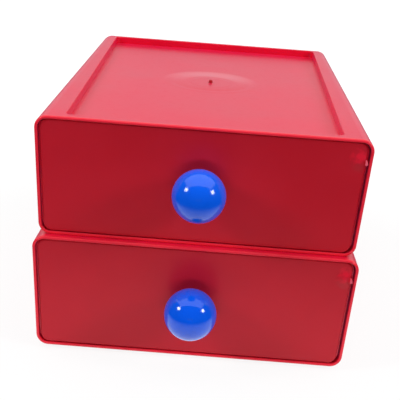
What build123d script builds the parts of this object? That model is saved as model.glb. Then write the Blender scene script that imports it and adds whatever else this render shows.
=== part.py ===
from build123d import *
import os
from math import hypot, isclose

os.makedirs("parts", exist_ok=True)

# A stack of two alike drawer units, each a moulded sleeve with an open front and a drawer with a ball knob.
# Millimetres, +Z up. The drawers open towards -Y. The origin is on the ground, under the middle of the stack.

# Casing: a sleeve that is widest at the top of its open front and draws in downwards and backwards
casing_width = 252.0
casing_depth = 350.0
casing_height = 95.0
casing_wall = 2.2
casing_corner = 9.5
casing_back_round = 6.0
casing_side_draw_in = 4.3  # each side, from the top edge down to the bottom edge
casing_back_draw_in = 7.7  # each side, from the front rim to the back wall
rim_set_back = 6.2  # the foot of the front rim behind its head
rim_outer_round = 1.3
rim_inner_round = 0.4

# Recess in the casing's top, which takes the foot ring of the next unit
recess_depth = 6.5
recess_side_land = 22.5  # from the casing's widest line
recess_front_land = 9.0
recess_back_land = 9.0
recess_corner = 5.0
recess_draft_angle = 3.0
recess_edge_round = 0.8
recess_floor_round = 2.0

# Moulding gate: a shallow stepped dish with a broken-off stub, a little behind the middle of the recess
gate_offset = 10.0
gate_stub_radius = 1.0
gate_stub_height = 2.0
gate_dish_radius = 40.0
gate_dish_depth = 0.3
gate_well_radius = 22.0
gate_well_depth = 0.6
gate_slope_run = 6.0

# Foot ring under the casing, and the runners and the stop for the drawer inside it
foot_height = 3.0
foot_clearance = 1.0
foot_band = 11.0
foot_draft_angle = 45.0
runner_height = 1.5
runner_width = 6.0
runner_spacing = 150.0
runner_front_gap = 6.0
stop_place = 58.0  # behind the head of the rim
stop_depth = 4.5
stop_width = 96.0
stop_thickness = 2.4

# Drawer front: a plate just inside the rim, a little to one side in its opening
front_recess = 1.2
front_thickness = 2.0
front_top_gap = 0.5
front_bottom_gap = 0.6
front_side_gap = 2.1
front_corner = 6.5
front_edge_round = 1.0
drawer_shift = -0.4
peg_radius = 3.0
peg_length = 1.7
peg_spacing = 130.0
nib_drop = 18.0
nib_length = 1.6
nib_height = 4.0
nib_thickness = 0.8

# Drawer tray
tray_wall = 2.0
tray_side_gap = 3.0
tray_top_gap = 2.0
tray_back_gap = 1.5
tray_corner = 7.0
tray_floor_round = 5.0
tray_lip_round = 0.7
flange_gap = 0.8  # from the flange behind the drawer front to the casing
flange_thickness = 1.2

# Ball knob and its fixings
knob_radius = 20.0
knob_standoff = 23.5  # ball centre in front of the drawer front
knob_drop = 45.0  # foot of the knob below the casing's top
knob_neck_radius = 8.0
knob_neck_round = 1.2
knob_seat_radius = 10.0
knob_seat_height = 1.2
insert_radius = 4.0
insert_length = 12.0
insert_depth = 0.5  # the bush lies this far inside the knob's seat
screw_radius = 2.0
screw_length = 14.0
screw_head_radius = 4.0
screw_head_height = 2.6
screw_head_round = 1.2
washer_radius = 6.0
washer_thickness = 1.0
round_clearance = 0.3  # between round pieces, one inside the other

overrun = 1.0  # cuts pass this far beyond the face that they leave by
middle_share = 0.5  # where along an edge its direction is read

# Sizes that follow from the ones above; a depth is taken behind the head of the rim, a drop below it
rim_slope = rim_set_back / casing_height
rim_stretch = hypot(1, rim_slope)
inner_back = casing_depth - casing_wall
inner_corner = casing_corner - casing_wall
recess_width = casing_width - 2 * recess_side_land
recess_length = casing_depth - recess_front_land - recess_back_land
pan_drop = recess_depth + casing_wall
tray_top_drop = pan_drop + tray_top_gap
tray_bottom_drop = casing_height - casing_wall - runner_height
tray_inset = casing_wall + tray_side_gap
tray_front = front_recess + front_thickness * rim_stretch
tray_back = inner_back - tray_back_gap
tray_inner_front = tray_front + tray_wall * rim_stretch
tray_inner_back = tray_back - tray_wall
front_inset = casing_wall + front_side_gap
front_top_drop = casing_wall + front_top_gap
screw_hole_radius = screw_radius + round_clearance
screw_seat = front_thickness + tray_wall + washer_thickness

# The ball stands furthest forward, so it sets where the middle of the stack is
knob_reach = knob_standoff / rim_stretch + knob_radius - front_recess - rim_slope * knob_drop
rim_y = (knob_reach - casing_depth) / 2
recess_y = rim_y + recess_front_land + recess_length / 2
gate_y = recess_y + gate_offset
stop_y = rim_y + stop_place


def half_width(depth, drop):
    """Outer half width of the casing at a depth and a drop."""
    backwards = casing_back_draw_in * depth / casing_depth
    downwards = casing_side_draw_in * drop / casing_height
    return casing_width / 2 - backwards - downwards


def rim_plane(depth, top):
    """Plane that leans with the front rim and faces forwards."""
    return Plane(origin=(0, rim_y + depth, top), x_dir=(1, 0, 0), z_dir=(0, -1, -rim_slope))


def upright_plane(y, z):
    """Upright plane that faces forwards."""
    return Plane(origin=(0, y, z), x_dir=(1, 0, 0), z_dir=(0, -1, 0))


def ground_plane(y, z):
    """Level plane that faces the ground."""
    return Plane(origin=(0, y, z), x_dir=(1, 0, 0), z_dir=(0, 0, -1))


def knob_plane(top):
    """The face of the drawer front, with its origin on the knob's axis."""
    y = rim_y + front_recess + rim_slope * knob_drop
    return Plane(origin=(drawer_shift, y, top - knob_drop), x_dir=(1, 0, 0), z_dir=(0, -1, -rim_slope))


def section(plane, depth, slope, inset, top_drop, bottom_drop, shift=0, corner=0):
    """Four-sided cut through the casing's space, drawn in by inset, on a plane of that depth and slope."""
    stretch = hypot(1, slope)
    head = half_width(depth + slope * top_drop, top_drop) - inset
    foot = half_width(depth + slope * bottom_drop, bottom_drop) - inset
    with BuildSketch(plane) as cut:
        with BuildLine():
            Polyline(
                (shift - head, -top_drop * stretch),
                (shift + head, -top_drop * stretch),
                (shift + foot, -bottom_drop * stretch),
                (shift - foot, -bottom_drop * stretch),
                close=True,
            )
        make_face()
        if corner:
            fillet(cut.vertices(), corner)
    return cut.sketch


def is_deep(edge):
    """True for an edge that runs from the front to the back."""
    way = edge.tangent_at(middle_share)
    return abs(way.Y) > abs(way.X) + abs(way.Z)


def is_steep(edge):
    """True for an edge that runs from the top to the bottom."""
    way = edge.tangent_at(middle_share)
    return abs(way.Z) > abs(way.X) + abs(way.Y)


def build_casing(top):
    """Moulded sleeve with its top at the given height."""
    base = top - casing_height
    floor = base + casing_wall
    with BuildPart() as casing:
        # Drafted block, rounded along its length and round its back
        add(section(rim_plane(0, top), 0, rim_slope, 0, 0, casing_height))
        add(section(upright_plane(rim_y + casing_depth, top), casing_depth, 0, 0, 0, casing_height))
        loft()
        fillet(casing.edges().filter_by(is_deep), casing_corner)
        fillet(casing.faces().sort_by(Axis.Y)[-1].edges(), casing_back_round)

        # Hollow, open at the front, with the same rounds less the wall
        inner_drops = (casing_wall, casing_height - casing_wall)
        add(section(rim_plane(0, top), 0, rim_slope, casing_wall, *inner_drops, corner=inner_corner))
        add(section(upright_plane(rim_y + inner_back, top), inner_back, 0, casing_wall,
                    *inner_drops, corner=inner_corner))
        loft(mode=Mode.SUBTRACT)
        back = casing.faces().filter_by(Axis.Y).sort_by(Axis.Y)[-2]
        fillet(back.edges(), casing_back_round - casing_wall)
        rim = casing.faces().sort_by(Axis.Y)[0]
        fillet(rim.outer_wire().edges(), rim_outer_round)
        rim = casing.faces().filter_by(GeomType.PLANE).sort_by(Axis.Y)[0]
        fillet(rim.inner_wires()[0].edges(), rim_inner_round)

        # Pan of the top recess, hung in the top wall
        with BuildSketch(ground_plane(recess_y, top)):
            RectangleRounded(
                recess_width + 2 * casing_wall,
                recess_length + 2 * casing_wall,
                recess_corner + casing_wall,
            )
        extrude(amount=pan_drop)
        with BuildSketch(ground_plane(recess_y, top)):
            RectangleRounded(recess_width, recess_length, recess_corner)
        extrude(amount=recess_depth, taper=recess_draft_angle, mode=Mode.SUBTRACT)
        land, pan_floor = casing.faces().filter_by(Axis.Z).sort_by(Axis.Z)[:-3:-1]
        fillet(land.inner_wires()[0].edges(), recess_edge_round)
        fillet(pan_floor.edges(), recess_floor_round)

        # Gate dish and stub in the recess floor
        with BuildSketch(upright_plane(gate_y, top - recess_depth)):
            with BuildLine():
                Polyline(
                    (0, 0),
                    (gate_dish_radius, 0),
                    (gate_dish_radius - gate_slope_run, -gate_dish_depth),
                    (gate_well_radius, -gate_dish_depth),
                    (gate_well_radius - gate_slope_run, -gate_well_depth),
                    (0, -gate_well_depth),
                    close=True,
                )
            make_face()
        revolve(axis=Axis((0, gate_y, top), (0, 0, 1)), mode=Mode.SUBTRACT)
        with BuildSketch(Plane.XY.offset(top - recess_depth - gate_well_depth)):
            with Locations((0, gate_y)):
                Circle(gate_stub_radius)
        extrude(amount=gate_stub_height)

        # Foot ring that drops into the recess of the unit below
        foot_width = recess_width - 2 * foot_clearance
        foot_length = recess_length - 2 * foot_clearance
        with BuildSketch(ground_plane(recess_y, base)):
            RectangleRounded(foot_width, foot_length, recess_corner)
        extrude(amount=foot_height, taper=foot_draft_angle)
        with BuildSketch(ground_plane(recess_y, base)):
            RectangleRounded(foot_width - 2 * foot_band, foot_length - 2 * foot_band, recess_corner)
        extrude(amount=foot_height, mode=Mode.SUBTRACT)

        # Runners on the floor, and the stop that the back of the tray meets
        runner_start = rim_y + rim_set_back + tray_front + runner_front_gap
        runner_end = rim_y + casing_depth - casing_wall / 2
        with BuildSketch(Plane.XY.offset(floor)):
            with Locations((0, (runner_start + runner_end) / 2)):
                with GridLocations(runner_spacing, 0, 2, 1):
                    Rectangle(runner_width, runner_end - runner_start)
        extrude(amount=runner_height)
        with BuildSketch(ground_plane(stop_y, top - pan_drop)):
            Rectangle(stop_width, stop_thickness)
        extrude(amount=stop_depth)
    return casing


def build_tray(top):
    """Drawer box, open at the top, that slides on the casing's runners."""
    with BuildPart() as tray:
        add(section(rim_plane(tray_front, top), tray_front, rim_slope, tray_inset,
                    tray_top_drop, tray_bottom_drop, drawer_shift))
        add(section(upright_plane(rim_y + tray_back, top), tray_back, 0, tray_inset,
                    tray_top_drop, tray_bottom_drop, drawer_shift))
        loft()
        add(section(rim_plane(tray_inner_front, top), tray_inner_front, rim_slope, tray_inset + tray_wall,
                    tray_top_drop - overrun, tray_bottom_drop - tray_wall, drawer_shift))
        add(section(upright_plane(rim_y + tray_inner_back, top), tray_inner_back, 0, tray_inset + tray_wall,
                    tray_top_drop - overrun, tray_bottom_drop - tray_wall, drawer_shift))
        loft(mode=Mode.SUBTRACT)

        # Corners and floor rounded inside first, then outside, so that the wall stays even
        corners = tray.edges().filter_by(is_steep).sort_by(Axis.Y)
        fillet(corners[2:-2], tray_corner - tray_wall)
        fillet(tray.faces().filter_by(Axis.Z).sort_by(Axis.Z)[1].edges(), tray_floor_round - tray_wall)
        corners = tray.edges().filter_by(is_steep).sort_by(Axis.Y)
        fillet(corners[:2] + corners[-2:], tray_corner)
        fillet(tray.faces().sort_by(Axis.Z)[0].edges(), tray_floor_round)
        fillet(tray.faces().sort_by(Axis.Z)[-1].edges(), tray_lip_round)

        # Flange that closes the gap behind the drawer front
        flange = section(rim_plane(tray_front, top), tray_front, rim_slope, casing_wall + flange_gap,
                         front_top_drop, tray_bottom_drop, drawer_shift, inner_corner)
        extrude(flange, amount=-flange_thickness)

        # Holes for the knob's screw and for the two pegs of the drawer front
        with BuildSketch(knob_plane(top).offset(-front_thickness)):
            Circle(screw_hole_radius)
            with GridLocations(peg_spacing, 0, 2, 1):
                Circle(peg_radius + round_clearance)
        extrude(amount=-tray_wall - overrun, mode=Mode.SUBTRACT)
    return tray


def build_front(top):
    """Drawer front plate with its locating pegs and its gate nib."""
    plate = section(rim_plane(front_recess, top), front_recess, rim_slope, front_inset,
                    front_top_drop, casing_height - casing_wall - front_bottom_gap,
                    drawer_shift, front_corner)
    with BuildPart() as front:
        extrude(plate, amount=-front_thickness)
        face = front.faces().sort_by(SortBy.AREA)[-2:].sort_by(Axis.Y)[0]
        fillet(face.edges(), front_edge_round)

        with BuildSketch(knob_plane(top)):
            Circle(screw_hole_radius)
        extrude(amount=-front_thickness - overrun, mode=Mode.SUBTRACT)
        with BuildSketch(knob_plane(top).offset(-front_thickness)):
            with GridLocations(peg_spacing, 0, 2, 1):
                Circle(peg_radius)
        extrude(amount=-peg_length)

        edge = half_width(front_recess + rim_slope * nib_drop, nib_drop) - front_inset + drawer_shift
        with BuildSketch(rim_plane(front_recess, top).offset(-front_edge_round)):
            with Locations((edge, -nib_drop * rim_stretch)):
                Rectangle(2 * nib_length, nib_height)
        extrude(amount=-nib_thickness)
    return front


def build_knob(top):
    """Ball knob with a short neck and seat, bored for its bush."""
    face = knob_plane(top)
    with BuildPart() as knob:
        with BuildSketch(Plane(origin=face.origin, x_dir=(1, 0, 0), z_dir=(0, rim_slope, -1))):
            with Locations((0, knob_standoff)):
                Circle(knob_radius)
            Rectangle(2 * knob_neck_radius, knob_standoff, align=(Align.CENTER, Align.MIN))
            Rectangle(2 * knob_seat_radius, knob_seat_height, align=(Align.CENTER, Align.MIN))
            far_half = (knob_radius + overrun, knob_standoff + knob_radius + overrun)
            Rectangle(*far_half, align=(Align.MAX, Align.MIN), mode=Mode.SUBTRACT)
        revolve(axis=Axis(face.origin, face.z_dir))
        rings = knob.edges().filter_by(GeomType.CIRCLE)
        fillet(rings.filter_by(lambda ring: isclose(ring.radius, knob_neck_radius)), knob_neck_round)
        with BuildSketch(face):
            Circle(insert_radius + round_clearance)
        extrude(amount=insert_depth + insert_length, mode=Mode.SUBTRACT)
    return knob


def build_insert(top):
    """Threaded bush inside the knob."""
    with BuildPart() as bush:
        with BuildSketch(knob_plane(top).offset(insert_depth)):
            Circle(insert_radius)
            Circle(screw_hole_radius, mode=Mode.SUBTRACT)
        extrude(amount=insert_length)
    return bush


def build_screw(top):
    """Round-head screw, put in from inside the tray."""
    seat = knob_plane(top).offset(-screw_seat)
    with BuildPart() as screw:
        with BuildSketch(seat):
            Circle(screw_head_radius)
        extrude(amount=-screw_head_height)
        fillet(screw.edges().sort_by(Axis.Y)[-1], screw_head_round)
        with BuildSketch(seat):
            Circle(screw_radius)
        extrude(amount=screw_length)
    return screw


def build_washer(top):
    """Flat washer between the screw's head and the tray."""
    with BuildPart() as washer:
        with BuildSketch(knob_plane(top).offset(-screw_seat)):
            Circle(washer_radius)
            Circle(screw_hole_radius, mode=Mode.SUBTRACT)
        extrude(amount=washer_thickness)
    return washer


builders = {
    "casing": build_casing,
    "tray": build_tray,
    "front": build_front,
    "knob": build_knob,
    "knob_insert": build_insert,
    "knob_screw": build_screw,
    "knob_washer": build_washer,
}
lower_top = foot_height + casing_height
unit_tops = {"lower": lower_top, "upper": lower_top + casing_height}

for unit, top in unit_tops.items():
    for piece, build in builders.items():
        made = build(top)
        made.part.label = f"{unit}_{piece}"
        export_step(made.part, f"parts/{unit}_{piece}.step")
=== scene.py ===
"""Two stacked drawer units in red moulded plastic, each with one glossy blue ball knob."""

import logging
import math
from dataclasses import dataclass
from enum import Enum

import bmesh
import bpy
from mathutils import Matrix, Vector


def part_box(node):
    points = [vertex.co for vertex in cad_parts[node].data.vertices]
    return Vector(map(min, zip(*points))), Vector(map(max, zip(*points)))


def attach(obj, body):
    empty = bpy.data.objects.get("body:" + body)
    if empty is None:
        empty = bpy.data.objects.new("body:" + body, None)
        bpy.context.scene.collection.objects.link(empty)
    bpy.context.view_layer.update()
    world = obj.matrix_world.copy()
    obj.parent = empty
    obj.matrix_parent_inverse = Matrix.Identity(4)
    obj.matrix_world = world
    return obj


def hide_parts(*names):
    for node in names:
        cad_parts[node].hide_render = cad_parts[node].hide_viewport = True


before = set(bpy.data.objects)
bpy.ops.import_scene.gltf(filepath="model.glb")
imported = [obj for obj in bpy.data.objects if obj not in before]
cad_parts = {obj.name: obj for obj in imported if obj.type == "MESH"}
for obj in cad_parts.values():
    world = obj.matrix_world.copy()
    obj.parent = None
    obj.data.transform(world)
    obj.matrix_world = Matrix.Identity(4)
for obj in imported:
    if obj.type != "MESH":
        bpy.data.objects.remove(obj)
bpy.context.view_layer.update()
LOG = logging.getLogger("drawer_units")

Colour = tuple[float, float, float]
Point = tuple[float, float, float]
Pair = tuple[float, float]

WHITE: Colour = (1.0, 1.0, 1.0)

# Lean of the front rims and the drawer fronts: how far a rim's foot lies behind its head, over the height
RIM_SET_BACK = 0.0062
CASING_HEIGHT = 0.095
RIM_SLOPE = RIM_SET_BACK / CASING_HEIGHT


class Unit(Enum):
    """The two alike units of the stack."""

    LOWER = "lower"
    UPPER = "upper"

    def node(self, piece: str) -> str:
        """Name of one of this unit's nodes or pieces."""
        return f"{self.value}_{piece}"

    @property
    def case_body(self) -> str:
        """Body that the casing rides on."""
        return f"{self.value}_case"

    @property
    def drawer_body(self) -> str:
        """Body that the drawer's pieces ride on."""
        return f"{self.value}_drawer"


class Slot(Enum):
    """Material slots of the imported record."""

    CASING = "casing_red"
    FRONT = "front_red"
    KNOB = "knob_blue"
    STEEL = "screw_steel"


class Board:
    """A node tree with short calls for adding and joining its nodes."""

    # The Mix node has sockets of one name for each kind of data, so those for colours go by their numbers
    mix_inputs = (6, 7)
    mix_output = 2

    def __init__(self, tree: bpy.types.NodeTree) -> None:
        """Keeps the tree that the nodes go into.

        Args:
            tree: Node tree of a material, a world or a Geometry Nodes group.
        """
        self.tree = tree

    def add(self, kind: str, **settings: object) -> bpy.types.Node:
        """Adds a node.

        Args:
            kind: The node's type name.
            settings: Properties of the node, by their names.

        Returns:
            The new node.
        """
        node = self.tree.nodes.new(kind)
        for name, value in settings.items():
            setattr(node, name, value)
        return node

    def feed(self, target: bpy.types.NodeSocket, value: object) -> None:
        """Links an output to an input, or sets the input to a plain value.

        Args:
            target: Input socket.
            value: Output socket, number, vector or colour.
        """
        if isinstance(value, bpy.types.NodeSocket):
            self.tree.links.new(value, target)
        else:
            target.default_value = value

    def math(self, operation: str, *values: object) -> bpy.types.NodeSocket:
        """Adds a sum on numbers.

        Args:
            operation: Name of the sum, as the Math node spells it.
            values: Output sockets or numbers, in order.

        Returns:
            The result's socket.
        """
        node = self.add("ShaderNodeMath", operation=operation)
        for socket, value in zip(node.inputs, values):
            self.feed(socket, value)
        return node.outputs[0]

    def vector_math(self, operation: str, *values: object) -> bpy.types.Node:
        """Adds a sum on vectors.

        Args:
            operation: Name of the sum, as the Vector Math node spells it.
            values: Output sockets or vectors, in order.

        Returns:
            The node, which has a vector and a number output.
        """
        node = self.add("ShaderNodeVectorMath", operation=operation)
        for socket, value in zip(node.inputs, values):
            self.feed(socket, value)
        return node

    def ramp(
        self, value: object, low: float, high: float, to_low: float, to_high: float,
    ) -> bpy.types.NodeSocket:
        """Maps a number smoothly from one range to another, and holds it at the ends.

        Args:
            value: Output socket to map.
            low: Start of the range that is read.
            high: End of the range that is read.
            to_low: Result at the start.
            to_high: Result at the end.

        Returns:
            The result's socket.
        """
        node = self.add("ShaderNodeMapRange", interpolation_type="SMOOTHSTEP")
        ends = {"From Min": low, "From Max": high, "To Min": to_low, "To Max": to_high}
        for name, number in ends.items():
            node.inputs[name].default_value = number
        self.feed(node.inputs["Value"], value)
        return node.outputs["Result"]

    def noise(self, place: object, size: float, detail: float = 2.0) -> bpy.types.NodeSocket:
        """Adds cloudy noise with spots of about one size.

        Args:
            place: Socket with the coordinates.
            size: Rough size of a spot, in metres.
            detail: Octaves of finer noise.

        Returns:
            The noise's value, from 0 to 1.
        """
        node = self.add("ShaderNodeTexNoise")
        self.feed(node.inputs["Vector"], place)
        node.inputs["Scale"].default_value = 1.0 / size
        node.inputs["Detail"].default_value = detail
        return node.outputs["Fac"]

    def mix(self, share: object, first: object, second: object) -> bpy.types.NodeSocket:
        """Mixes two colours.

        Args:
            share: How much of the second colour there is.
            first: Output socket or colour.
            second: Output socket or colour.

        Returns:
            The mixed colour's socket.
        """
        node = self.add("ShaderNodeMix", data_type="RGBA")
        self.feed(node.inputs["Factor"], share)
        for number, value in zip(self.mix_inputs, (first, second)):
            if not isinstance(value, bpy.types.NodeSocket):
                value = (*value, 1.0)
            self.feed(node.inputs[number], value)
        return node.outputs[self.mix_output]

    def bump(self, height: object, depth: float, normal: object = None) -> bpy.types.NodeSocket:
        """Bends the normal by a height.

        Args:
            height: Socket with the height, from 0 to 1.
            depth: Real height of a step from 0 to 1, in metres.
            normal: Normal that is bent further, if there is one.

        Returns:
            The bent normal's socket.
        """
        node = self.add("ShaderNodeBump")
        node.inputs["Distance"].default_value = depth
        self.feed(node.inputs["Height"], height)
        if normal is not None:
            self.feed(node.inputs["Normal"], normal)
        return node.outputs["Normal"]


def shader_board(name: str) -> tuple[bpy.types.Material, Board, bpy.types.Node]:
    """Starts a material.

    Args:
        name: The material's name.

    Returns:
        The material, its board and its Principled node.
    """
    material = bpy.data.materials.new(name)
    material.use_nodes = True
    board = Board(material.node_tree)
    shader = material.node_tree.nodes["Principled BSDF"]
    return material, board, shader


@dataclass(frozen=True)
class GateRing:
    """Low ring that the moulding gate left round itself, with a pale painted reflection on its back half.

    Attributes:
        centre: Middle of the ring.
        inside: Radii between which the inner slope lies, in metres.
        inside_height: Height of the inner slope, in metres.
        outside: Radii between which the outer slope lies, in metres.
        outside_height: Height of the outer slope, in metres.
        painted_reflection: Colour of the painted reflection, a pale crescent on the back half of the outer
            slope.
        painted_reflection_share: Strength of the painted reflection where it is palest.
        painted_reflection_rise: Where the painted reflection begins and is palest, beyond the start of the
            outer slope, in metres.
        painted_reflection_fade: Width over which the painted reflection fades at the end of the outer
            slope, in metres.
        painted_reflection_front: Reach of the painted reflection in front of the middle, as a share of the
            outer slope's first radius.
    """

    centre: Point
    inside: Pair = (0.016, 0.022)
    inside_height: float = 0.0004
    outside: Pair = (0.021, 0.046)
    outside_height: float = 0.0008
    # Pale colour of the painted reflection on the back half of the outer slope
    painted_reflection: Colour = (0.92, 0.17, 0.20)
    painted_reflection_share: float = 1.0
    painted_reflection_rise: Pair = (-0.002, 0.006)
    painted_reflection_fade: float = 0.010
    painted_reflection_front: float = 0.5

    def reach(self, board: Board, place: object) -> tuple[object, object]:
        """Measures from the middle of the ring, along the top of the casing.

        Args:
            board: Board of the material.
            place: Socket with the coordinates.

        Returns:
            Sockets with the distance and with its part towards the back.
        """
        away = board.vector_math("SUBTRACT", place, self.centre).outputs["Vector"]
        level = board.vector_math("MULTIPLY", away, (1.0, 1.0, 0.0)).outputs["Vector"]
        back = board.vector_math("DOT_PRODUCT", level, (0.0, 1.0, 0.0)).outputs["Value"]
        return board.vector_math("LENGTH", level).outputs["Value"], back

    def tint(self, board: Board, place: object, colour: object) -> bpy.types.NodeSocket:
        """Paints the pale reflection over a colour.

        Args:
            board: Board of the material.
            place: Socket with the coordinates.
            colour: Socket with the colour.

        Returns:
            The tinted colour's socket.
        """
        away, back = self.reach(board, place)
        inner, outer = self.outside
        start, full = (inner + beyond for beyond in self.painted_reflection_rise)
        rise = board.ramp(away, start, full, 0.0, self.painted_reflection_share)
        fall = board.ramp(away, outer - self.painted_reflection_fade, outer, 1.0, 0.0)
        # Painted reflection: only the back half turns pale, where a real slope would mirror the bright wall
        # behind
        behind = board.ramp(back, -inner * self.painted_reflection_front, outer, 0.0, 1.0)
        share = board.math("MULTIPLY", board.math("MULTIPLY", rise, fall), behind)
        return board.mix(share, colour, self.painted_reflection)

    def bend(self, board: Board, place: object, normal: object) -> bpy.types.NodeSocket:
        """Bends a normal over the ring.

        Args:
            board: Board of the material.
            place: Socket with the coordinates.
            normal: Normal that is bent further.

        Returns:
            The bent normal's socket.
        """
        away, _ = self.reach(board, place)
        outer = board.bump(board.ramp(away, *self.outside, 1.0, 0.0), self.outside_height, normal)
        return board.bump(board.ramp(away, *self.inside, 1.0, 0.0), self.inside_height, outer)


@dataclass(frozen=True)
class Blush:
    """Brighter spot and low swelling that an edge gate left in the plastic.

    Attributes:
        centre: Middle of the spot.
        colour: Colour in the middle.
        radius: Where the spot has faded out, in metres.
        share: Strength of the spot in its middle.
        swell_drop: How far the middle of the swelling lies below that of the spot, in metres.
        swell_height: Height of the swelling, in metres.
    """

    centre: Point
    colour: Colour = (0.92, 0.016, 0.048)
    radius: float = 0.0085
    share: float = 0.85
    swell_drop: float = 0.0040
    swell_height: float = 0.0012

    # Noise that frays the edge of the spot: its size and its reach are shares of the radius
    noise_share = 0.5
    noise_span = (0.3, 0.7)
    ragged_share = 0.25

    def tint(self, board: Board, place: object, colour: object) -> bpy.types.NodeSocket:
        """Lays the spot over a colour.

        Args:
            board: Board of the material.
            place: Socket with the coordinates.
            colour: Socket with the colour.

        Returns:
            The tinted colour's socket.
        """
        away = board.vector_math("DISTANCE", place, self.centre).outputs["Value"]
        noise = board.noise(place, self.radius * self.noise_share)
        ragged = self.radius * self.ragged_share
        edge = board.ramp(noise, *self.noise_span, -ragged, ragged)
        share = board.ramp(board.math("ADD", away, edge), 0.0, self.radius, self.share, 0.0)
        return board.mix(share, colour, self.colour)

    def bend(self, board: Board, place: object, normal: object) -> bpy.types.NodeSocket:
        """Bends a normal over the swelling.

        Args:
            board: Board of the material.
            place: Socket with the coordinates.
            normal: Normal that is bent further.

        Returns:
            The bent normal's socket.
        """
        middle = Vector(self.centre) - Vector((0.0, 0.0, self.swell_drop))
        away = board.vector_math("DISTANCE", place, tuple(middle)).outputs["Value"]
        return board.bump(board.ramp(away, 0.0, self.radius, 1.0, 0.0), self.swell_height, normal)


@dataclass(frozen=True)
class ThinRim:
    """Brighter band along the front rim of a casing, where light passes through the thin edge.

    Attributes:
        head: Point on the head of the rim.
        colour: Painted light colour at the very edge, which also lightens the shaded gap behind the rim.
        width: Where the band has faded out behind the rim, in metres.
        scatter: Share of the light that wanders inside the plastic at the very edge.
        bloom: Strength of the pale bloom at the very edge.
    """

    head: Point
    # Painted light: brighter red than the casing, for the lit rounded edge and the shaded gap just behind
    # it
    colour: Colour = (1.0, 0.024, 0.055)
    width: float = 0.005
    scatter: float = 0.10
    bloom: float = 0.0

    def behind(self, board: Board, place: object) -> bpy.types.NodeSocket:
        """Measures how far a place lies behind the leaning rim.

        Args:
            board: Board of the material.
            place: Socket with the coordinates.

        Returns:
            Socket with the distance.
        """
        away = board.vector_math("SUBTRACT", place, self.head).outputs["Vector"]
        return board.vector_math("DOT_PRODUCT", away, (0.0, 1.0, RIM_SLOPE)).outputs["Value"]

    def tint(self, board: Board, place: object, colour: object) -> bpy.types.NodeSocket:
        """Paints the band's light over a colour.

        Args:
            board: Board of the material.
            place: Socket with the coordinates.
            colour: Socket with the colour.

        Returns:
            The tinted colour's socket.
        """
        return board.mix(self.blend(board, place, 1.0, 0.0), colour, self.colour)

    def blend(self, board: Board, place: object, edge: float, beyond: float) -> bpy.types.NodeSocket:
        """Leads a number from its value at the very edge to the one behind the band.

        Args:
            board: Board of the material.
            place: Socket with the coordinates.
            edge: The number at the very edge.
            beyond: The number behind the band.

        Returns:
            Socket with the number.
        """
        return board.ramp(self.behind(board, place), 0.0, self.width, edge, beyond)


@dataclass(frozen=True)
class MouldedPlastic:
    """Finish of an injection-moulded piece.

    Attributes:
        colour: Colour of the plastic.
        deep_colour: Colour where the plastic flowed more slowly.
        roughness: Middle roughness of the moulded skin.
        specular: Level of its mirror reflection.
        bloom: Strength of the pale bloom that shows at a low angle.
        bloom_colour: Colour of that bloom.
        wave_height: Height of the broad waves that shrinking leaves in the skin, in metres.
        grain_height: Height of the fine grain of the mould, in metres.
        scatter: Share of the light that wanders inside the plastic before it leaves.
        scatter_depth: How far red light wanders there, in metres.
    """

    colour: Colour
    deep_colour: Colour
    roughness: float
    specular: float = 0.5
    bloom: float = 0.0
    bloom_colour: Colour = (1.0, 0.12, 0.50)
    wave_height: float = 0.00012
    grain_height: float = 0.000006
    scatter: float = 0.0
    scatter_depth: float = 0.006

    wave_size = 0.07
    wave_detail = 0.0
    flow_size = 0.09
    flow_detail = 3.0
    tone_span = (0.35, 0.65)
    patch_span = (0.3, 0.7)
    patch_change = 0.02
    scuff_size = 0.004
    scuff_detail = 4.0
    scuff_span = (0.5, 0.75)
    scuff_change = 0.03
    grain_size = 0.0005
    grain_detail = 1.0
    bloom_roughness = 0.35
    scatter_spread = (1.0, 0.08, 0.10)

    def material(
        self,
        name: str,
        ring: GateRing | None = None,
        blush: Blush | None = None,
        rim: ThinRim | None = None,
    ) -> bpy.types.Material:
        """Makes the finish as a material.

        Args:
            name: The material's name.
            ring: Ring round a moulding gate, with its painted reflection, if the piece has one.
            blush: Spot beside an edge gate, if the piece has one.
            rim: Thin rim with its band of painted light, if the piece has one.

        Returns:
            The material.
        """
        material, board, shader = shader_board(name)
        place = board.add("ShaderNodeTexCoord").outputs["Object"]
        flow = board.noise(place, self.flow_size, self.flow_detail)
        tone = board.ramp(flow, *self.tone_span, 0.0, 1.0)
        colour = board.mix(tone, self.deep_colour, self.colour)
        # Marks paint over the colour: the ring's pale reflection and the rim's band are painted light
        for mark in (ring, blush, rim):
            if mark:
                colour = mark.tint(board, place, colour)
        board.feed(shader.inputs["Base Color"], colour)

        scratched = board.noise(place, self.scuff_size, self.scuff_detail)
        scuffs = board.ramp(scratched, *self.scuff_span, 0.0, self.scuff_change)
        smoothest, roughest = self.roughness - self.patch_change, self.roughness + self.patch_change
        patches = board.ramp(flow, *self.patch_span, smoothest, roughest)
        board.feed(shader.inputs["Roughness"], board.math("ADD", patches, scuffs))
        shader.inputs["Specular IOR Level"].default_value = self.specular
        scatter = rim.blend(board, place, rim.scatter, self.scatter) if rim else self.scatter
        board.feed(shader.inputs["Subsurface Weight"], scatter)
        shader.inputs["Subsurface Radius"].default_value = self.scatter_spread
        shader.inputs["Subsurface Scale"].default_value = self.scatter_depth
        bloom = rim.blend(board, place, rim.bloom, self.bloom) if rim else self.bloom
        board.feed(shader.inputs["Sheen Weight"], bloom)
        shader.inputs["Sheen Roughness"].default_value = self.bloom_roughness
        shader.inputs["Sheen Tint"].default_value = (*self.bloom_colour, 1.0)

        waves = board.noise(place, self.wave_size, self.wave_detail)
        normal = board.bump(waves, self.wave_height)
        for mark in (ring, blush):
            if mark:
                normal = mark.bend(board, place, normal)
        fine = board.noise(place, self.grain_size, self.grain_detail)
        grain = board.bump(fine, self.grain_height, normal)
        board.feed(shader.inputs["Normal"], grain)
        return material


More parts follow.
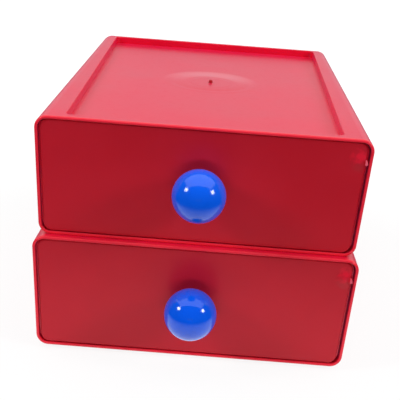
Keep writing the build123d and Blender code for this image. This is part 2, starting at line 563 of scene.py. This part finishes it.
@dataclass(frozen=True)
class TurnedMetal:
    """Finish of a small turned metal piece.

    Attributes:
        colour: Colour of the clean metal.
        stain: Colour of the dull spots on it.
        roughness: Middle roughness.
    """

    colour: Colour
    stain: Colour
    roughness: float

    spot_size = 0.0015
    spot_detail = 3.0
    spot_span = (0.45, 0.7)
    stain_roughness = 0.15
    groove_detail = 1.0
    groove_size = 0.00012
    groove_height = 0.000004

    def material(self, name: str) -> bpy.types.Material:
        """Makes the finish as a material.

        Args:
            name: The material's name.

        Returns:
            The material.
        """
        material, board, shader = shader_board(name)
        place = board.add("ShaderNodeTexCoord").outputs["Object"]
        spots = board.ramp(board.noise(place, self.spot_size, self.spot_detail), *self.spot_span, 0.0, 1.0)
        board.feed(shader.inputs["Base Color"], board.mix(spots, self.colour, self.stain))
        shader.inputs["Metallic"].default_value = 1.0
        dull = self.roughness + self.stain_roughness
        board.feed(shader.inputs["Roughness"], board.ramp(spots, 0.0, 1.0, self.roughness, dull))
        grooves = board.noise(place, self.groove_size, self.groove_detail)
        board.feed(shader.inputs["Normal"], board.bump(grooves, self.groove_height))
        return material


CASING_RED = MouldedPlastic(
    colour=(0.86, 0.005, 0.042),
    deep_colour=(0.82, 0.004, 0.036),
    roughness=0.32,
    specular=0.37,
    bloom=0.29,
    scatter=0.22,
    scatter_depth=0.005,
)
TRAY_RED = MouldedPlastic(
    colour=(0.86, 0.008, 0.052),
    deep_colour=(0.82, 0.007, 0.046),
    roughness=0.38,
    bloom=0.2,
    scatter=0.6,
    scatter_depth=0.008,
)
# Painted shade: the drawer front's red is darker than the casing's, standing in for the front facing away
# from the light
FRONT_RED_SHADED = MouldedPlastic(
    colour=(0.64, 0.013, 0.031),
    deep_colour=(0.605, 0.011, 0.027),
    roughness=0.34,
    specular=0.26,
    scatter=0.2,
)
STUB_RED = MouldedPlastic(
    colour=(0.55, 0.004, 0.020),
    deep_colour=(0.45, 0.003, 0.014),
    roughness=0.45,
    specular=0.30,
    scatter=0.3,
)
# Pale pink: the torn nib's stress-whitened plastic, and partly a painted highlight where it sticks out into
# the light
NIB_RED = MouldedPlastic(
    colour=(1.0, 0.16, 0.24),
    deep_colour=(0.95, 0.09, 0.15),
    roughness=0.45,
)
KNOB_BLUE = MouldedPlastic(
    colour=(0.003, 0.130, 1.0),
    deep_colour=(0.002, 0.115, 0.96),
    roughness=0.11,
    wave_height=0.00002,
    grain_height=0.0,
)
BRASS = TurnedMetal(colour=(0.80, 0.58, 0.25), stain=(0.55, 0.37, 0.15), roughness=0.25)
ZINC = TurnedMetal(colour=(0.74, 0.75, 0.77), stain=(0.50, 0.51, 0.53), roughness=0.28)


def end_group(board: Board, given: bpy.types.Node, shape: bpy.types.NodeSocket, label: str) -> None:
    """Ends a node group with real geometry that has its finish.

    Args:
        board: Board of the group.
        given: The group's input node, which holds the finish.
        shape: Socket with the geometry.
        label: Name of the group's output.
    """
    whole = board.add("GeometryNodeRealizeInstances")
    board.feed(whole.inputs["Geometry"], shape)
    dressed = board.add("GeometryNodeSetMaterial")
    board.feed(dressed.inputs["Geometry"], whole.outputs["Geometry"])
    board.feed(dressed.inputs["Material"], given.outputs["Finish"])
    result = board.add("NodeGroupOutput")
    board.feed(result.inputs[label], dressed.outputs["Geometry"])


def lathe_tree() -> tuple[bpy.types.GeometryNodeTree, dict[str, str]]:
    """Builds the node group that turns a half outline into a round piece.

    Returns:
        The group, and its inputs' identifiers by name.
    """
    tree = bpy.data.node_groups.new("lathe", "GeometryNodeTree")
    face = tree.interface
    face.new_socket("Half Outline", in_out="INPUT", socket_type="NodeSocketGeometry")
    names = {}
    kinds = {"Segments": "NodeSocketInt", "Core": "NodeSocketFloat", "Finish": "NodeSocketMaterial"}
    for label, kind in kinds.items():
        names[label] = face.new_socket(label, in_out="INPUT", socket_type=kind).identifier
    face.new_socket("Turned", in_out="OUTPUT", socket_type="NodeSocketGeometry")

    board = Board(tree)
    given = board.add("NodeGroupInput")
    outline = board.add("GeometryNodeMeshToCurve")
    board.feed(outline.inputs["Mesh"], given.outputs["Half Outline"])
    path = board.add("GeometryNodeCurvePrimitiveCircle")
    board.feed(path.inputs["Resolution"], given.outputs["Segments"])
    board.feed(path.inputs["Radius"], given.outputs["Core"])
    turned = board.add("GeometryNodeCurveToMesh")
    board.feed(turned.inputs["Curve"], path.outputs["Curve"])
    board.feed(turned.inputs["Profile Curve"], outline.outputs["Curve"])
    end_group(board, given, turned.outputs["Mesh"], "Turned")
    return tree, names


def cross_tree() -> tuple[bpy.types.GeometryNodeTree, dict[str, str]]:
    """Builds the node group that cuts a cross recess into the end of a turned piece.

    Returns:
        The group, and its inputs' identifiers by name.
    """
    tree = bpy.data.node_groups.new("cross_recess", "GeometryNodeTree")
    face = tree.interface
    face.new_socket("Turned", in_out="INPUT", socket_type="NodeSocketGeometry")
    names = {}
    for label in ("Length", "Width", "Depth", "End"):
        names[label] = face.new_socket(label, in_out="INPUT", socket_type="NodeSocketFloat").identifier
    names["Finish"] = face.new_socket("Finish", in_out="INPUT", socket_type="NodeSocketMaterial").identifier
    face.new_socket("Cut", in_out="OUTPUT", socket_type="NodeSocketGeometry")

    board = Board(tree)
    given = board.add("NodeGroupInput")
    lift = board.add("ShaderNodeCombineXYZ")
    board.feed(lift.inputs["Z"], given.outputs["End"])
    cut = board.add("GeometryNodeMeshBoolean", operation="DIFFERENCE", solver="EXACT")
    board.feed(cut.inputs["Mesh 1"], given.outputs["Turned"])
    for sides in (("Length", "Width"), ("Width", "Length")):
        size = board.add("ShaderNodeCombineXYZ")
        for axis, side in zip(("X", "Y"), sides):
            board.feed(size.inputs[axis], given.outputs[side])
        # A bar is centred on the piece's end, so it is twice as high as the recess is deep
        board.feed(size.inputs["Z"], board.math("ADD", given.outputs["Depth"], given.outputs["Depth"]))
        bar = board.add("GeometryNodeMeshCube")
        board.feed(bar.inputs["Size"], size.outputs["Vector"])
        cutter = board.add("GeometryNodeTransform")
        board.feed(cutter.inputs["Geometry"], bar.outputs["Mesh"])
        board.feed(cutter.inputs["Translation"], lift.outputs["Vector"])
        board.feed(cut.inputs["Mesh 2"], cutter.outputs["Geometry"])
    end_group(board, given, cut.outputs["Mesh"], "Cut")
    return tree, names


def settle(
    piece: bpy.types.Object,
    tree: bpy.types.GeometryNodeTree,
    names: dict[str, str],
    values: dict[str, object],
) -> None:
    """Runs a node group on a piece and keeps the result as its plain mesh.

    Args:
        piece: Piece whose mesh goes into the group.
        tree: The group.
        names: Identifiers of its inputs, by name.
        values: Values of its inputs, by name.
    """
    modifier = piece.modifiers.new(tree.name, "NODES")
    modifier.node_group = tree
    for label, value in values.items():
        modifier[names[label]] = value
    graph = bpy.context.evaluated_depsgraph_get()
    mesh = bpy.data.meshes.new_from_object(piece.evaluated_get(graph))
    piece.modifiers.clear()
    piece.data = mesh


def close_up(mesh: bpy.types.Mesh, weld: float) -> None:
    """Merges points that lie together and turns the faces outwards.

    Args:
        mesh: Mesh to mend.
        weld: Distance under which points are one, in metres.
    """
    work = bmesh.new()
    work.from_mesh(mesh)
    bmesh.ops.remove_doubles(work, verts=work.verts, dist=weld)
    bmesh.ops.dissolve_degenerate(work, edges=work.edges, dist=weld)
    bmesh.ops.recalc_face_normals(work, faces=work.faces)
    work.to_mesh(mesh)
    work.free()


def smooth(mesh: bpy.types.Mesh, crease: float) -> None:
    """Shades a mesh smoothly, apart from its sharp edges.

    Args:
        mesh: Mesh to shade.
        crease: Angle from which an edge stays sharp, in radians.
    """
    for face in mesh.polygons:
        face.use_smooth = True
    mesh.set_sharp_from_angle(angle=crease)


class Lathe:
    """Turns half outlines into round pieces."""

    # The turning path is a circle of this radius, so an outline is set back by as much
    core = 0.001
    weld = 0.000002

    def __init__(self) -> None:
        """Builds the node groups once."""
        self.tree, self.names = lathe_tree()
        self.cross_tree, self.cross_names = cross_tree()

    def turn(
        self,
        name: str,
        outline: list[Pair],
        segments: int,
        place: Matrix,
        finish: bpy.types.Material,
        crease: float,
        cross: tuple[float, ...] = (),
    ) -> bpy.types.Object:
        """Makes a round piece.

        Args:
            name: The piece's name.
            outline: Half outline, as radius and height, from one end of the axis to the other.
            segments: Facets round the piece.
            place: Where the axis stands, with its direction along Z.
            finish: Material of the piece.
            crease: Angle from which an edge stays sharp, in radians.
            cross: Length, width, depth and height on the axis of a cross recess, if the piece has one.

        Returns:
            The piece, with its place in its mesh.
        """
        half = bpy.data.meshes.new(name)
        edges = [(i, i + 1) for i in range(len(outline) - 1)]
        half.from_pydata([(radius - self.core, -height, 0.0) for radius, height in outline], edges, [])
        piece = bpy.data.objects.new(name, half)
        bpy.context.scene.collection.objects.link(piece)
        sizes = {"Segments": segments, "Core": self.core, "Finish": finish}
        settle(piece, self.tree, self.names, sizes)
        close_up(piece.data, self.weld)
        if cross:
            sizes = dict(zip(("Length", "Width", "Depth", "End"), cross), Finish=finish)
            settle(piece, self.cross_tree, self.cross_names, sizes)
            close_up(piece.data, self.weld)
        piece.data.transform(place)
        smooth(piece.data, crease)
        return piece


def arc(centre: Pair, radius: float, start: float, end: float, steps: int) -> list[Pair]:
    """Points along an arc.

    Args:
        centre: The arc's centre.
        radius: The arc's radius.
        start: Angle of the first point, in radians.
        end: Angle of the last point, in radians.
        steps: Number of chords.

    Returns:
        The points, both ends included.
    """
    turns = [start + (end - start) * i / steps for i in range(steps + 1)]
    return [(centre[0] + radius * math.cos(t), centre[1] + radius * math.sin(t)) for t in turns]


def dress(node: str, material: bpy.types.Material) -> None:
    """Gives a CAD node its finish.

    Args:
        node: The node's name.
        material: Its finish.
    """
    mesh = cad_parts[node].data
    mesh.materials.clear()
    mesh.materials.append(material)


@dataclass
class Casing:
    """Moulded sleeve of one unit, with lengths in metres.

    Attributes:
        unit: Unit that the casing belongs to.
        lathe: Lathe that turns the stub of its gate.
        gate_behind_middle: How far the moulding gate lies behind the casing's middle.
        recess_depth: Depth of the recess in the top.
        stub_depth: How far the foot of the stub lies below the recess's floor.
        stub_outline: Half outline of the torn stub, as radius and height.
        stub_segments: Facets round the stub.
        stub_crease_degrees: Angle from which an edge of the stub stays sharp.
    """

    unit: Unit
    lathe: Lathe
    gate_behind_middle: float = 0.010
    recess_depth: float = 0.0065
    stub_depth: float = 0.0009
    stub_outline: tuple[Pair, ...] = (
        (0.0, 0.0),
        (0.0022, 0.0),
        (0.0018, 0.0006),
        (0.0016, 0.0014),
        (0.0017, 0.0022),
        (0.0012, 0.0027),
        (0.0, 0.0024),
    )
    stub_segments: int = 24
    stub_crease_degrees: float = 50.0

    def build(self) -> None:
        """Dresses the casing's node and makes the stub of its gate."""
        low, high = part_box(self.unit.node("casing"))
        gate = Vector((0.0, (low.y + high.y) / 2 + self.gate_behind_middle, high.z - self.recess_depth))
        # The rim's brighter band and the ring's pale halo are painted light in the casing's colour
        rim = ThinRim((0.0, low.y, high.z))
        finish = CASING_RED.material(f"{self.unit.value}_casing_red", ring=GateRing(tuple(gate)), rim=rim)
        dress(self.unit.node("casing"), finish)
        self.build_stub(gate - Vector((0.0, 0.0, self.stub_depth)))
        LOG.info("%s casing", self.unit.value)

    def build_stub(self, foot: Vector) -> None:
        """Makes the torn stub of the gate in the middle of the recess.

        Args:
            foot: Middle of its foot.
        """
        stub = self.lathe.turn(
            self.unit.node("gate_stub"),
            list(self.stub_outline),
            self.stub_segments,
            Matrix.Translation(foot),
            STUB_RED.material(f"{self.unit.value}_stub_red"),
            math.radians(self.stub_crease_degrees),
        )
        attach(stub, self.unit.case_body)


@dataclass
class Drawer:
    """Sliding drawer of one unit: tray, front, ball knob and the knob's fixings, with lengths in metres.

    Attributes:
        unit: Unit that the drawer belongs to.
        lathe: Lathe that turns its knob and screw.
        ball_radius: Radius of the ball.
        standoff: Height of the ball's centre above the drawer front.
        neck_radius: Radius of the neck between seat and ball.
        neck_round: Round between the seat and the neck.
        seat_radius: Radius of the knob's seat.
        seat_height: Height of that seat.
        bore_radius: Radius of the bore for the bush.
        bore_depth: Depth of that bore.
        ball_steps: Chords along the ball's outline.
        ball_segments: Facets round the knob.
        round_steps: Chords along a small round.
        turned_crease_degrees: Angle from which an edge of the knob or the screw stays sharp.
        screw_seat: How far the seat of the screw's head lies behind the face of the drawer front.
        screw_radius: Radius of the shaft.
        screw_length: Length of the shaft.
        head_radius: Radius of the screw's head.
        head_height: Height of the head.
        head_round: Round of the head's edge.
        cross_size: Length, width and depth of the cross recess.
        screw_segments: Facets round the screw.
        nib_drop: How far the nib of the edge gate lies below the casing's top.
        nib_reach: How far the nib's solid stands out of the right edge of the drawer front.
        nib_round: Round of the nib's edges.
        nib_round_steps: Chords along that round.
        nib_round_fullness: How far that round bulges.
        nib_crease_degrees: Angle from which an edge of the nib stays sharp.
        nib_depths: Where the nib begins and ends behind the face of the drawer front.
        nib_outline: Outline of the nib from the front, as distance from the edge and height.
        blush_offset: From the nib to the middle of the blush.
    """

    unit: Unit
    lathe: Lathe
    ball_radius: float = 0.020
    standoff: float = 0.0235
    neck_radius: float = 0.008
    neck_round: float = 0.0012
    seat_radius: float = 0.010
    seat_height: float = 0.0012
    bore_radius: float = 0.0043
    bore_depth: float = 0.0125
    ball_steps: int = 64
    ball_segments: int = 128
    round_steps: int = 6
    turned_crease_degrees: float = 40.0
    screw_seat: float = 0.005
    screw_radius: float = 0.002
    screw_length: float = 0.014
    head_radius: float = 0.004
    head_height: float = 0.0026
    head_round: float = 0.0012
    cross_size: tuple[float, float, float] = (0.0044, 0.0009, 0.0013)
    screw_segments: int = 48
    nib_drop: float = 0.018
    nib_reach: float = 0.0016
    nib_round: float = 0.0002
    nib_round_steps: int = 2
    nib_round_fullness: float = 0.5
    nib_crease_degrees: float = 60.0
    nib_depths: Pair = (-0.0010, 0.0014)
    nib_outline: tuple[Pair, ...] = (
        (-0.0004, 0.0024),
        (0.0004, 0.0020),
        (0.0016, -0.0010),
        (0.0014, -0.0019),
        (-0.0004, -0.0022),
    )
    blush_offset: Point = (-0.0045, 0.0, 0.0040)

    def build(self) -> None:
        """Dresses the nodes and makes the knob, its screw and the gate nib."""
        nib = self.nib_place()
        dress(self.unit.node("tray"), TRAY_RED.material(f"{self.unit.value}_tray_red"))
        blush = Blush(tuple(nib + Vector(self.blush_offset)))
        dress(self.unit.node("front"), FRONT_RED_SHADED.material(f"{self.unit.value}_front_red", blush=blush))
        dress(self.unit.node("knob_insert"), BRASS.material(f"{self.unit.value}_insert_brass"))
        dress(self.unit.node("knob_washer"), ZINC.material(f"{self.unit.value}_washer_zinc"))
        self.build_knob()
        self.build_screw()
        self.build_nib(nib)
        LOG.info("%s drawer", self.unit.value)

    def nib_place(self) -> Vector:
        """Middle of the gate nib, on the face and the right edge of the drawer front."""
        low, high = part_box(self.unit.node("front"))
        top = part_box(self.unit.node("casing"))[1].z
        lean = RIM_SLOPE * (self.nib_drop - (top - high.z))
        return Vector((high.x - self.nib_reach, low.y + lean, top - self.nib_drop))

    def build_nib(self, place: Vector) -> None:
        """Makes the torn stub of the edge gate.

        Args:
            place: Its middle on the face and the edge of the drawer front.
        """
        name = self.unit.node("gate_nib")
        mesh = bpy.data.meshes.new(name)
        work = bmesh.new()
        for depth in self.nib_depths:
            for out, up in self.nib_outline:
                work.verts.new(place + Vector((out, depth, up)))
        bmesh.ops.convex_hull(work, input=work.verts)
        bmesh.ops.bevel(
            work,
            geom=work.edges,
            offset=self.nib_round,
            segments=self.nib_round_steps,
            profile=self.nib_round_fullness,
            affect="EDGES",
        )
        bmesh.ops.recalc_face_normals(work, faces=work.faces)
        work.to_mesh(mesh)
        work.free()
        smooth(mesh, math.radians(self.nib_crease_degrees))
        mesh.materials.append(NIB_RED.material(f"{self.unit.value}_nib_red"))
        nib = bpy.data.objects.new(name, mesh)
        bpy.context.scene.collection.objects.link(nib)
        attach(nib, self.unit.drawer_body)

    def knob_place(self) -> Matrix:
        """Foot of the knob on the drawer front, with its axis along Z."""
        low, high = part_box(self.unit.node("knob"))
        axis = Vector((0.0, -1.0, -RIM_SLOPE)).normalized()
        centre = Vector(((low.x + high.x) / 2, low.y + self.ball_radius, high.z - self.ball_radius))
        turn = axis.to_track_quat("Z", "Y").to_matrix().to_4x4()
        return Matrix.Translation(centre - axis * self.standoff) @ turn

    def knob_outline(self) -> list[Pair]:
        """Half outline of the knob, from the bore's end over the seat to the front of the ball."""
        neck_turn = math.asin(self.neck_radius / self.ball_radius)
        seat = [
            (0.0, self.bore_depth),
            (self.bore_radius, self.bore_depth),
            (self.bore_radius, 0.0),
            (self.seat_radius, 0.0),
            (self.seat_radius, self.seat_height),
        ]
        flare_centre = (self.neck_radius + self.neck_round, self.seat_height + self.neck_round)
        quarter = math.pi / 2
        flare = arc(flare_centre, self.neck_round, -quarter, -math.pi, self.round_steps)
        ball = arc((0.0, self.standoff), self.ball_radius, neck_turn - quarter, quarter, self.ball_steps)
        return seat + flare + ball[:-1] + [(0.0, self.standoff + self.ball_radius)]

    def build_knob(self) -> None:
        """Turns the ball knob, which takes the place of its plainer node."""
        knob = self.lathe.turn(
            self.unit.node("ball_knob"),
            self.knob_outline(),
            self.ball_segments,
            self.knob_place(),
            KNOB_BLUE.material(f"{self.unit.value}_knob_blue"),
            math.radians(self.turned_crease_degrees),
        )
        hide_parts(self.unit.node("knob"))
        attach(knob, self.unit.drawer_body)

    def build_screw(self) -> None:
        """Turns the screw with its cross recess, which takes the place of its plainer node."""
        end = -self.screw_seat - self.head_height
        round_centre = (self.head_radius - self.head_round, end + self.head_round)
        rounding = arc(round_centre, self.head_round, 0.0, -math.pi / 2, self.round_steps)
        outline = [
            (0.0, self.screw_length - self.screw_seat),
            (self.screw_radius, self.screw_length - self.screw_seat),
            (self.screw_radius, -self.screw_seat),
            (self.head_radius, -self.screw_seat),
            *rounding,
            (0.0, end),
        ]
        screw = self.lathe.turn(
            self.unit.node("cross_screw"),
            outline,
            self.screw_segments,
            self.knob_place(),
            ZINC.material(f"{self.unit.value}_screw_zinc"),
            math.radians(self.turned_crease_degrees),
            cross=(*self.cross_size, end),
        )
        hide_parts(self.unit.node("knob_screw"))
        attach(screw, self.unit.drawer_body)


@dataclass(frozen=True)
class Lamp:
    """A soft lamp that points at the stack.

    Attributes:
        name: The lamp's name.
        way: Direction from the stack to the lamp.
        distance: How far away it is, in metres.
        size: Its width and depth, in metres.
        power: Its power, in watts.
        mirrored: Whether shiny pieces show it.
    """

    name: str
    way: Point
    distance: float
    size: Pair
    power: float
    mirrored: bool = True


@dataclass
class Studio:
    """White floor, soft light and the camera, with lengths in metres.

    Attributes:
        camera_place: Where the camera stands.
        camera_turn_degrees: How the camera is turned.
        lens_mm: Focal length of its lens.
        sensor_mm: Width of its sensor.
        target: Point that the lamps face.
        floor_half: Half the width of the floor.
        floor_white: Colour of the floor near the object, a painted pool of light.
        floor_dark: Colour of the floor far away, where the painted pool of light has faded.
        white_reach: Distances between which the floor's painted pool of light fades to dark.
        shadow_reach: Distances between which the object's shadow fades from the camera's view.
        seen_share: Share of plain white in the camera's view of the floor near the object.
        seen_level: Brightness of that plain white.
        mirrored_reach: Distances between which the floor's painted glow fades from mirrors.
        mirrored_level: Brightness of the painted glow that mirrors see on the floor near the object.
        back_way: Where the white wall behind begins and is full, as the Y of a direction.
        back_height: Where that wall starts to fade and has ended, as the Z of a direction.
        back_level: Brightness of that wall.
        dome_level: Brightness of the room all round.
        lamps: The lamps.
    """

    camera_place: Point = (0.00827, -0.86221, 0.38291)
    camera_turn_degrees: Point = (70.7775, -3.9913, 2.0303)
    lens_mm: float = 90.0
    sensor_mm: float = 36.0
    target: Point = (0.0, -0.178, 0.148)
    floor_half: float = 4.0
    # Painted pool of light near the object, fading to floor_dark far away
    floor_white: Colour = (0.60, 0.60, 0.60)
    floor_dark: Colour = (0.08, 0.08, 0.08)
    white_reach: Pair = (0.28, 0.52)
    shadow_reach: Pair = (0.25, 0.60)
    seen_share: float = 0.80
    seen_level: float = 1.12
    mirrored_reach: Pair = (0.19, 0.42)
    mirrored_level: float = 1.70
    back_way: Pair = (0.4, 0.75)
    back_height: Pair = (0.40, 0.65)
    back_level: float = 0.80
    dome_level: float = 0.04
    lamps: tuple[Lamp, ...] = (
        Lamp("overhead", (0.0, 0.06, 1.0), 1.50, (3.6, 1.8), 28.0),
        Lamp("left", (-0.797, -0.341, 0.499), 1.6, (0.40, 0.40), 8.6),
        Lamp("right", (0.826, -0.329, 0.460), 1.6, (0.40, 0.40), 9.0),
        Lamp("fill", (0.0, -1.0, -0.035), 1.6, (0.9, 0.18), 5.5, mirrored=False),
    )

    def build(self) -> None:
        """Sets up the whole studio."""
        scene = bpy.context.scene
        scene.view_settings.view_transform = "Standard"
        self.build_camera(scene)
        self.build_floor(scene)
        self.build_world(scene)
        self.build_lamps(scene)
        LOG.info("studio")

    def build_camera(self, scene: bpy.types.Scene) -> None:
        """Puts the camera where the photograph was taken from.

        Args:
            scene: Scene that gets the camera.
        """
        data = bpy.data.cameras.new("camera")
        data.sensor_width = self.sensor_mm
        data.lens = self.lens_mm
        camera = bpy.data.objects.new("camera", data)
        camera.location = self.camera_place
        camera.rotation_euler = [math.radians(angle) for angle in self.camera_turn_degrees]
        scene.collection.objects.link(camera)
        scene.camera = camera

    def build_floor(self, scene: bpy.types.Scene) -> None:
        """Lays a floor that the camera sees white, with the object's shadow; its colour is a painted pool
        of light that darkens far away, and mirrors see a painted glow near the object.

        Args:
            scene: Scene that gets the floor.
        """
        half = self.floor_half
        mesh = bpy.data.meshes.new("floor")
        corners = [(-half, -half, 0), (half, -half, 0), (half, half, 0), (-half, half, 0)]
        mesh.from_pydata(corners, [], [(0, 1, 2, 3)])
        floor = bpy.data.objects.new("floor", mesh)
        scene.collection.objects.link(floor)
        material = bpy.data.materials.new("floor_white")
        material.use_nodes = True
        material.cycles.emission_sampling = "NONE"
        material.node_tree.nodes.clear()
        board = Board(material.node_tree)
        place = board.add("ShaderNodeTexCoord").outputs["Object"]
        away = board.vector_math("LENGTH", place).outputs["Value"]
        # Painted pool of light: the floor's colour fades from near the object outwards
        near = board.ramp(away, *self.white_reach, 1.0, 0.0)
        plain = board.ramp(away, *self.shadow_reach, self.seen_share, 1.0)
        path = board.add("ShaderNodeLightPath")
        seen, mirrored = path.outputs["Is Camera Ray"], path.outputs["Is Glossy Ray"]
        matt = board.add("ShaderNodeBsdfDiffuse")
        white = board.math("MAXIMUM", near, seen)
        board.feed(matt.inputs["Color"], board.mix(white, self.floor_dark, self.floor_white))
        glow = board.add("ShaderNodeEmission")
        # Painted glow that only mirrors see, brightest near the object
        close = board.ramp(away, *self.mirrored_reach, self.mirrored_level, 0.0)
        level = board.math("MULTIPLY", mirrored, close)
        level = board.math("ADD", level, board.math("MULTIPLY", seen, self.seen_level))
        board.feed(glow.inputs["Strength"], level)
        blend = board.add("ShaderNodeMixShader")
        shown = board.math("MAXIMUM", seen, mirrored)
        board.feed(blend.inputs["Fac"], board.math("MULTIPLY", shown, plain))
        board.feed(blend.inputs[1], matt.outputs["BSDF"])
        board.feed(blend.inputs[2], glow.outputs["Emission"])
        result = board.add("ShaderNodeOutputMaterial")
        board.feed(result.inputs["Surface"], blend.outputs["Shader"])
        mesh.materials.append(material)

    def build_world(self, scene: bpy.types.Scene) -> None:
        """Surrounds the object with a dim room that has a white wall behind.

        Args:
            scene: Scene that gets the world.
        """
        world = bpy.data.worlds.new("studio")
        world.use_nodes = True
        world.node_tree.nodes.clear()
        scene.world = world
        board = Board(world.node_tree)
        parts = board.add("ShaderNodeSeparateXYZ")
        board.feed(parts.inputs["Vector"], board.add("ShaderNodeTexCoord").outputs["Generated"])
        behind = board.ramp(parts.outputs["Y"], *self.back_way, 0.0, 1.0)
        low = board.ramp(parts.outputs["Z"], *self.back_height, self.back_level, 0.0)
        level = board.math("ADD", board.math("MULTIPLY", behind, low), self.dome_level)
        strength = board.math("MAXIMUM", level, board.add("ShaderNodeLightPath").outputs["Is Camera Ray"])
        back = board.add("ShaderNodeBackground")
        back.inputs["Color"].default_value = (*WHITE, 1.0)
        board.feed(back.inputs["Strength"], strength)
        result = board.add("ShaderNodeOutputWorld")
        board.feed(result.inputs["Surface"], back.outputs["Background"])

    def build_lamps(self, scene: bpy.types.Scene) -> None:
        """Hangs the lamps.

        Args:
            scene: Scene that gets the lamps.
        """
        for lamp in self.lamps:
            data = bpy.data.lights.new(lamp.name, "AREA")
            # A lamp that is as wide as it is deep is round
            data.shape = "ELLIPSE" if lamp.size[0] == lamp.size[1] else "RECTANGLE"
            data.size, data.size_y = lamp.size
            data.energy = lamp.power
            way = Vector(lamp.way).normalized()
            hung = bpy.data.objects.new(lamp.name, data)
            hung.location = Vector(self.target) + way * lamp.distance
            hung.rotation_euler = (-way).to_track_quat("-Z", "Y").to_euler()
            hung.visible_glossy = lamp.mirrored
            scene.collection.objects.link(hung)


def main() -> None:
    """Builds the units and the studio in order."""
    logging.basicConfig(level=logging.INFO, format="%(name)s: %(message)s")
    lathe = Lathe()
    for unit in Unit:
        Casing(unit, lathe).build()
        Drawer(unit, lathe).build()
    Studio().build()


if __name__ == "__main__":
    main()
